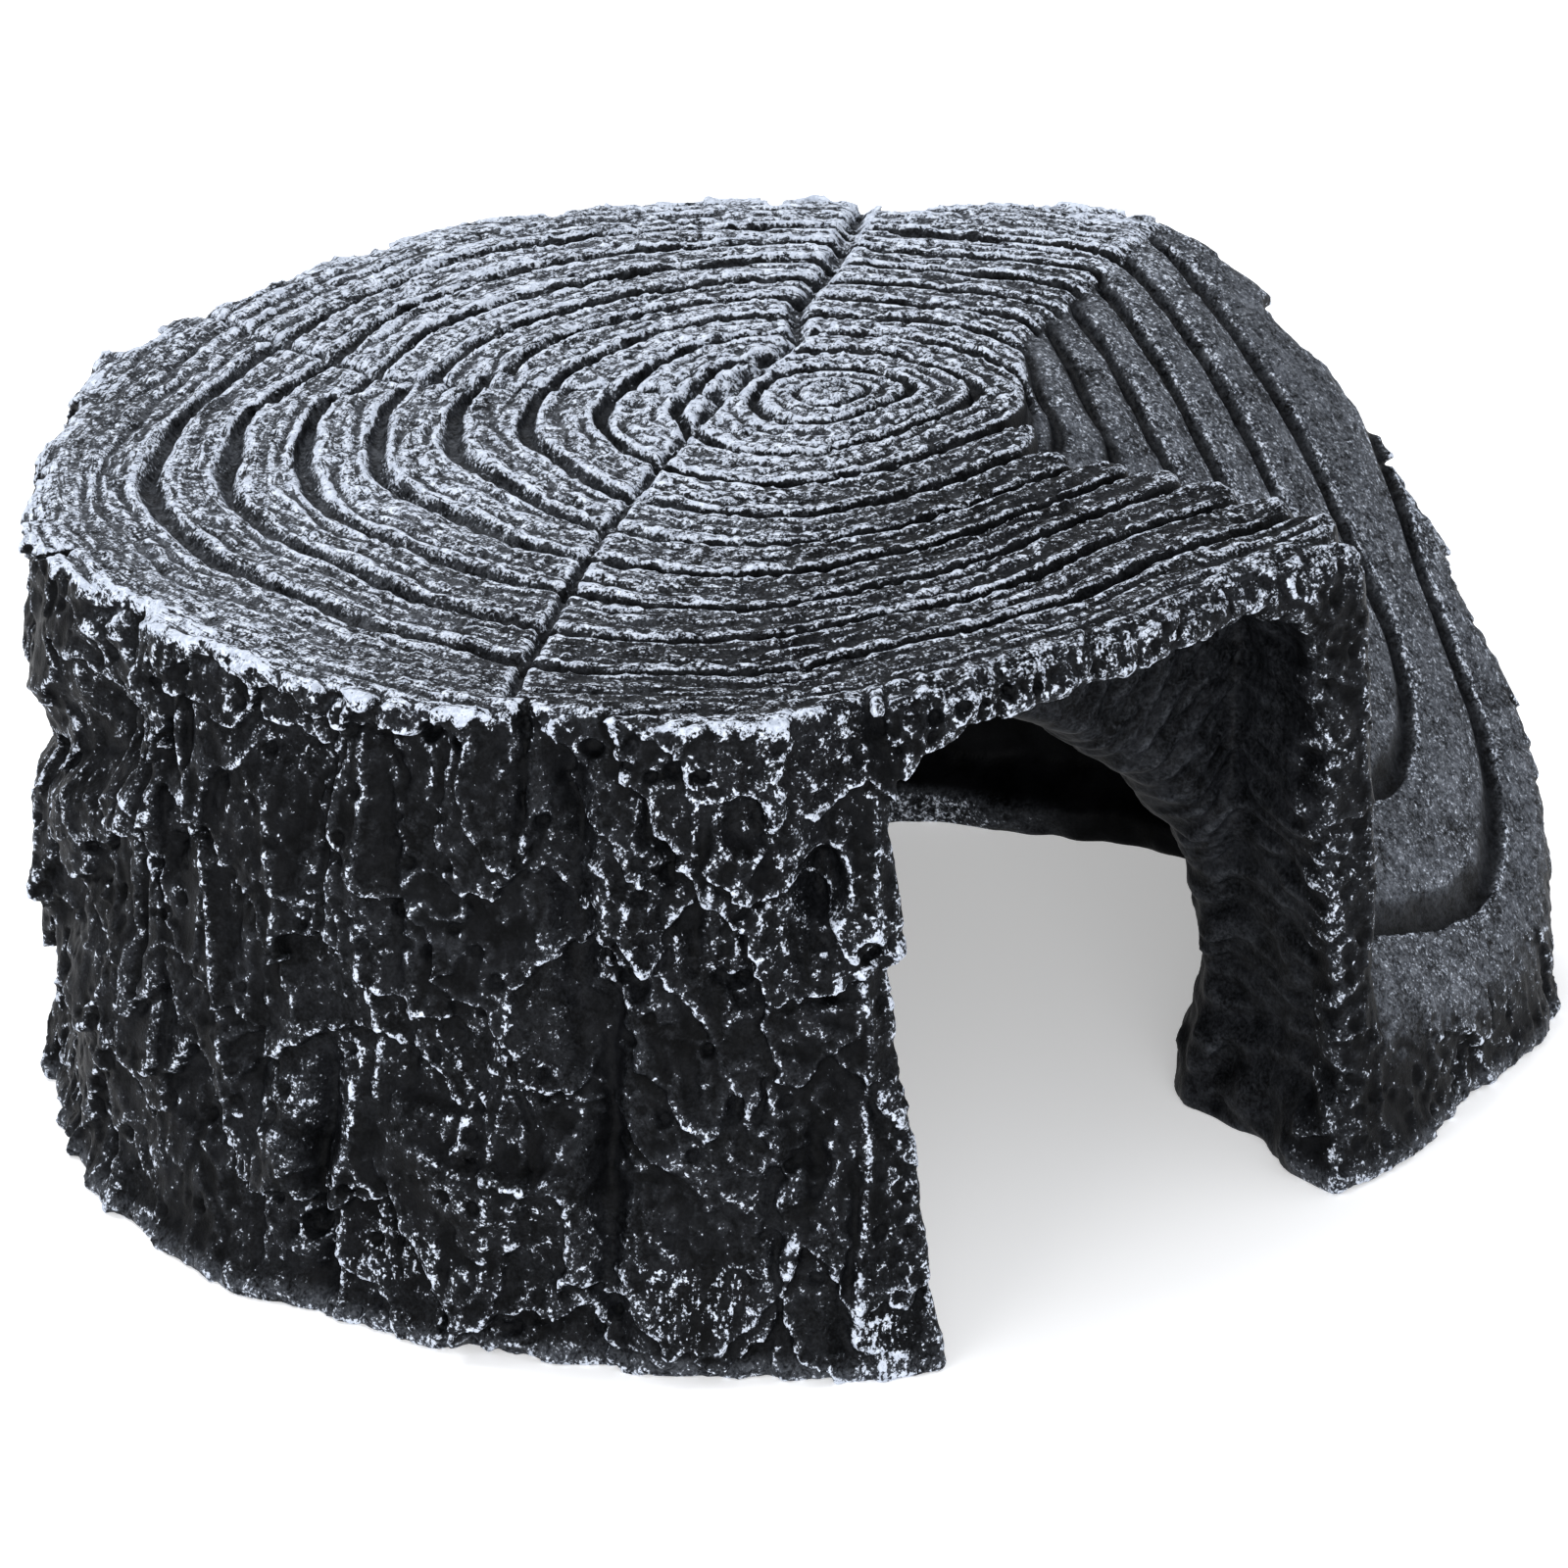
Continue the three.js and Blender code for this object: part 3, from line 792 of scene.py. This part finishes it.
def casting():
    """The casting's skin, with its paint's attributes."""
    grid = openvdb.FloatGrid(BAND)
    grid.copyFromArray(np.clip(casting_field() / VOXEL, -BAND, BAND))
    points, _, quads = grid.convertToPolygons(0.0, 0.0)
    points = points.astype(float) * VOXEL + np.array(GRID_LOW)
    mesh = skin_mesh(points, quads.astype(np.int32))
    paint_attributes(mesh, points, *exposure(mesh, points))
    piece = bpy.data.objects.new("stump_cave", mesh)
    bpy.context.scene.collection.objects.link(piece)
    return piece


def surfaces(x, y, z, normals):
    """Distance out from the wall, and how far each point is on the outside, in the slope's
    area and on top."""
    share = np.clip(z / HEIGHT, 0, 1)
    wall = to_polygon(x, y, foot) * (1 - share) + to_polygon(x, y, rim) * share
    height, _ = slope_height(x, y)
    in_area = step(1.0, -1.0, to_polygon(x, y, slope_area()))
    surface = np.where(in_area > 0.5, np.minimum(height, HEIGHT), HEIGHT)
    top = step(-3.4, -2.0, z - surface) * step(0.15, 0.5, normals[:, 2])
    return wall, step(-5.5, -4.0, wall), in_area, top


def deck_cover(x, y, fine, wide, patchy, back, left, groove):
    """White paint on the deck."""
    heart = step(28, 8, np.hypot(x, y))
    cover = 0.21 - 0.04 * left + 0.15 * back + 0.05 * heart + 0.10 * patchy
    cover = cover + np.clip(fine * 1.6, -0.5, 0.30)
    return cover + np.clip(wide * 0.25, -0.4, 0.06) - 0.25 * groove * (1 - 0.6 * back)


def slope_cover(fine, wide, patchy, carved):
    """White paint on the slope."""
    cover = 0.16 + 0.12 * patchy + np.clip(fine * 1.1, -0.3, 0.25) - 0.25 * carved
    return cover + np.clip(wide * 0.3, -0.4, 0.10)


def bark_cover(x, fine, wide, patchy, crumbly, lintel):
    """White paint on the bark, with a lace along its fine edges."""
    cover = 0.12 * patchy + 0.12 * crumbly - 0.06 + np.clip(wide * 0.20, -0.5, 0.16)
    lace = np.clip(fine * 2.8, -0.5, 0.62) * (1 - 0.2 * lintel)
    return cover + 0.05 * step(-65, -40, x) + lace


def arris_cover(x, y, z, wall, in_area, lintel):
    """Broken white line along the rim of the deck."""
    arris = step(HEIGHT - 1.9, HEIGHT - 0.8, z) * step(-2.2, -0.6, wall) * (1 - in_area)
    broken = step(-0.4, 0.5, noise(x / 5, y / 5, z / 5, 61))
    return 0.22 * arris * broken * (1 - 0.8 * lintel)


def brushed_patches(z, bearing):
    """Patches brushed with streaks, near the foot."""
    brushed = 0
    for turned, height, half_wide, half_tall in BRUSHED:
        away = round_from(along_girth(bearing), turned)
        brushed = brushed + np.exp(-(away / half_wide) ** 4 - ((z - height) / half_tall) ** 4)
    return brushed


def paint_attributes(mesh, points, normals, fine, wide):
    """How much white paint caught on each point, with painted light on the back wall's inside foot, and
    where the wood grain runs.
    """
    x, y, z = points.T
    ring, width, bearing = ring_place(x, y)
    wall, outside, in_area, top = surfaces(x, y, z, normals)
    slope = in_area * top
    deck = (1 - in_area) * top
    bark = (1 - top) * outside
    shown = np.maximum(outside, top)
    patchy = noise(x / 26, y / 26, z / 26, 60)
    crumbly = crumbliness(x, y, z)
    back = step(-35, 25, y - 0.3 * x)
    left = step(-20, -45, x) * step(-30, -10, y)
    lintel, _ = lintel_and_post(x, y)
    groove = np.exp(-(groove_gap(ring, width) / (0.1 + groove_half(x, y, bearing))) ** 4)
    carved = np.exp(-(slope_gap(x, y) / 1.0) ** 4)
    # Inside foot of the back wall: a pale band that is mostly painted light, where light through the
    # doorway falls on the flange, with some pale paint.
    back_flange_paint_and_painted_light = (1 - shown) * step(5.0, 3.2, z) * step(10, 25, y)

    cover = deck * deck_cover(x, y, fine, wide, patchy, back, left, groove)
    cover = cover + slope * slope_cover(fine, wide, patchy, carved)
    cover = cover + bark * bark_cover(x, fine, wide, patchy, crumbly, lintel)
    cover = cover + arris_cover(x, y, z, wall, in_area, lintel)
    # The back flange term adds painted light, as white paint, on the inside foot of the back wall.
    cover = cover * shown - 0.3 * (1 - shown) + 0.62 * back_flange_paint_and_painted_light

    edges = np.clip(fine * 1.6 + wide * 0.4, 0, 0.5)
    foot_veil = 0.5 * step(3.0, 1.0, z)
    veil = deck * ((0.15 + 0.55 * back) * (1 - 0.7 * groove) + 0.25 * left * groove)
    veil = veil + slope * (1 - 0.9 * carved) + bark * (0.02 + 0.05 * crumbly + edges + foot_veil)
    veil = veil + (1 - shown) * step(-36, -44, y) * (0.12 + np.clip(fine * 1.5, 0, 0.4))

    add_attribute(mesh, "cover", cover)
    add_attribute(mesh, "deck", top)
    # The back flange term also adds painted light to the thin white veil there.
    add_attribute(mesh, "veil", veil + 0.6 * back_flange_paint_and_painted_light)
    add_attribute(mesh, "grain", np.stack([np.cos(bearing) * 10, np.sin(bearing) * 10, ring * 8], 1))
    add_attribute(mesh, "brushed", brushed_patches(z, bearing) * outside)


# ---------------------------------------------------------------- material

class Shader:
    """A material's node tree, with short ways to add the nodes that it needs."""

    def __init__(self, name):
        self.material = bpy.data.materials.new(name)
        self.material.use_nodes = True
        self.nodes = self.material.node_tree.nodes
        self.links = self.material.node_tree.links
        self.nodes.clear()

    def plug(self, value, socket):
        """Links an output to a socket, or sets the socket to a constant."""
        if isinstance(value, bpy.types.NodeSocket):
            self.links.new(value, socket)
        else:
            socket.default_value = value

    def node(self, kind, **inputs):
        """A node with some of its named inputs filled in."""
        made = self.nodes.new(kind)
        for name, value in inputs.items():
            self.plug(value, made.inputs[name.replace("_", " ")])
        return made

    def attribute(self, name, output="Fac"):
        """An attribute of the mesh's points."""
        made = self.nodes.new("ShaderNodeAttribute")
        made.attribute_name = name
        return made.outputs[output]

    def maths(self, operation, a, b):
        """One step of arithmetic on two values."""
        made = self.nodes.new("ShaderNodeMath")
        made.operation = operation
        self.plug(a, made.inputs[0])
        self.plug(b, made.inputs[1])
        return made.outputs[0]

    def weighted(self, *pairs):
        """Values, each times its weight, added up."""
        total = 0.0
        for value, weight in pairs:
            total = self.maths("ADD", self.maths("MULTIPLY", value, weight), total)
        return total

    def between(self, factor, low, high):
        """A value between two others."""
        made = self.nodes.new("ShaderNodeMix")
        self.plug(factor, made.inputs[0])
        self.plug(low, made.inputs[2])
        self.plug(high, made.inputs[3])
        return made.outputs[0]

    def blend(self, factor, a, b):
        """A colour between two others."""
        made = self.nodes.new("ShaderNodeMix")
        made.data_type = "RGBA"
        self.plug(factor, made.inputs[0])
        self.plug(a, made.inputs[6])
        self.plug(b, made.inputs[7])
        return made.outputs[2]

    def ramp(self, value, low, high, to_low=0.0, to_high=1.0):
        """A smooth step of a value from one range to another."""
        made = self.nodes.new("ShaderNodeMapRange")
        made.interpolation_type = "SMOOTHSTEP"
        for i, number in enumerate((value, low, high, to_low, to_high)):
            self.plug(number, made.inputs[i])
        return made.outputs[0]

    def speckle(self, vector, scale, detail, roughness, distortion=0.0):
        """Noise over a vector."""
        made = self.node("ShaderNodeTexNoise", Scale=scale, Detail=detail, Roughness=roughness,
                         Distortion=distortion, Vector=vector)
        return made.outputs["Fac"]


def paint_noises(shader):
    """The noises that the paint and the black under it are made from."""
    place = shader.nodes.new("ShaderNodeTexCoord").outputs["Object"]
    upright = shader.nodes.new("ShaderNodeVectorMath")
    upright.operation = "MULTIPLY"
    shader.plug(place, upright.inputs[0])
    shader.plug(UPRIGHT_STRETCH, upright.inputs[1])
    return {
        "streak": shader.speckle(shader.attribute("grain", "Vector"), 1.6, 5.0, 0.68, 0.9),
        "fleck": shader.speckle(place, 1250.0, 5.0, 0.68, 0.9),
        "dust": shader.speckle(place, 3000.0, 2.0, 0.6),
        "blot": shader.speckle(place, 260.0, 3.0, 0.6, 0.5),
        "brush": shader.speckle(upright.outputs[0], 2300.0, 2.0, 0.6),
        "fibre": shader.speckle(upright.outputs[0], 900.0, 3.0, 0.6),
    }


def paint_grain(shader, made):
    """The grain that the brush catches on: along the rings on the deck, flecked on the bark."""
    from_middle = shader.maths("SUBTRACT", made["streak"], 0.5)
    crest = shader.maths("MULTIPLY", shader.maths("ABSOLUTE", from_middle, 0.0), -2.0)
    on_deck = shader.weighted((made["streak"], 0.46), (crest, 0.34), (made["fleck"], 0.20),
                              (made["dust"], 0.34), (0.04, 1.0))
    on_bark = shader.weighted((made["fleck"], 0.48), (made["blot"], 0.14), (made["dust"], 0.38))
    return shader.between(shader.attribute("deck"), on_bark, on_deck)


def paint_mask(shader, made, grain):
    """Where the white paint is, from 0 to 1."""
    deck = shader.attribute("deck")
    amount = shader.between(deck, 3.4, 2.9)
    caught = shader.maths("MULTIPLY", shader.maths("SUBTRACT", grain, 0.5), amount)
    level = shader.maths("ADD", shader.attribute("cover"), caught)
    bristles = shader.maths("SUBTRACT", made["brush"], 0.36)
    stroke = shader.maths("MULTIPLY", bristles, shader.attribute("brushed"))
    level = shader.maths("ADD", level, shader.maths("MULTIPLY", stroke, 1.5))
    softness = shader.between(deck, 0.24, 0.26)
    edge = shader.maths("DIVIDE", shader.maths("SUBTRACT", level, 0.46), softness)
    return shader.ramp(edge, -0.5, 0.5)


def resin_colour(shader, made, paint):
    """Black, thinly dusted with white in places, and the white paint over it."""
    soot = shader.blend(shader.ramp(made["blot"], 0.35, 0.65), SOOT, PALE_SOOT)
    chalk = shader.blend(shader.ramp(made["fleck"], 0.35, 0.7), CHALK, PALE_CHALK)
    speckled = shader.weighted((made["fleck"], 0.45), (made["blot"], 0.25), (made["dust"], 0.30))
    thin = shader.maths("MULTIPLY", shader.ramp(speckled, 0.36, 0.66), shader.attribute("veil"))
    dusted = shader.blend(shader.maths("MULTIPLY", thin, 0.26), soot, chalk)
    return shader.blend(paint, dusted, chalk)


def painted_resin():
    """Black resin paint with white dry-brushed over its high spots."""
    shader = Shader("painted_resin")
    made = paint_noises(shader)
    grain = paint_grain(shader, made)
    paint = paint_mask(shader, made, grain)
    relief = shader.weighted((grain, 0.6), (made["fibre"], 0.4))
    bump = shader.node("ShaderNodeBump", Strength=0.6, Distance=0.00035, Height=relief)
    surface = shader.node(
        "ShaderNodeBsdfPrincipled",
        IOR=1.46,
        Specular_IOR_Level=0.045,
        Base_Color=resin_colour(shader, made, paint),
        Roughness=shader.ramp(paint, 0.0, 1.0, 0.45, 0.75),
        Normal=bump.outputs[0],
    )
    shader.node("ShaderNodeOutputMaterial", Surface=surface.outputs[0])
    return shader.material


# ---------------------------------------------------------------- stage

def floor():
    """Wide pale floor, glowing faintly so that it stays pale in the doorway."""
    mesh = bpy.data.meshes.new("floor")
    half = FLOOR_HALF
    corners = [(-half, -half, 0), (half, -half, 0), (half, half, 0), (-half, half, 0)]
    mesh.from_pydata(corners, [], [(0, 1, 2, 3)])
    plane = bpy.data.objects.new("floor", mesh)
    bpy.context.scene.collection.objects.link(plane)
    mat = bpy.data.materials.new("floor")
    mat.use_nodes = True
    shader = mat.node_tree.nodes["Principled BSDF"]
    shader.inputs["Base Color"].default_value = FLOOR_COLOUR
    shader.inputs["Roughness"].default_value = 0.9
    shader.inputs["Emission Color"].default_value = (1, 1, 1, 1)
    shader.inputs["Emission Strength"].default_value = FLOOR_GLOW
    mesh.materials.append(mat)


def soft_light(name, place, size, watts):
    """Round soft light aimed at the casting."""
    data = bpy.data.lights.new(name, "AREA")
    data.shape = "DISK"
    data.size = size
    data.energy = watts
    lamp = bpy.data.objects.new(name, data)
    lamp.location = place
    lamp.rotation_mode = "QUATERNION"
    lamp.rotation_quaternion = (LIT_PLACE - Vector(place)).to_track_quat("-Z", "Y")
    bpy.context.scene.collection.objects.link(lamp)


def lights():
    """Three soft lights and a pale sky."""
    for name, place, size, watts in LIGHTS:
        soft_light(name, place, size, watts)
    world = bpy.data.worlds.new("world")
    world.use_nodes = True
    background = world.node_tree.nodes["Background"]
    background.inputs["Color"].default_value = SKY_COLOUR
    background.inputs["Strength"].default_value = SKY_STRENGTH
    bpy.context.scene.world = world


def camera():
    """Long-lens camera above the front left."""
    back = Vector((
        math.sin(AZIMUTH) * math.cos(ELEVATION),
        -math.cos(AZIMUTH) * math.cos(ELEVATION),
        math.sin(ELEVATION),
    ))
    right = Vector((math.cos(AZIMUTH), math.sin(AZIMUTH), 0))
    up = back.cross(right)
    pith_top = Vector((PITH[0], PITH[1], HEIGHT)) * MM
    target = pith_top - right * PITH_RIGHT - up * PITH_UP
    data = bpy.data.cameras.new("camera")
    data.sensor_width = 36
    data.lens = LENS
    data.clip_start = 0.05
    eye = bpy.data.objects.new("camera", data)
    eye.location = target + back * DISTANCE
    eye.rotation_mode = "QUATERNION"
    eye.rotation_quaternion = (-back).to_track_quat("-Z", "Y")
    bpy.context.scene.collection.objects.link(eye)
    bpy.context.scene.camera = eye


stump = casting()
stump.data.materials.append(painted_resin())
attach(stump, "root")
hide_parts("cave_casting")
floor()
lights()
camera()
bpy.context.scene.view_settings.view_transform = "Standard"
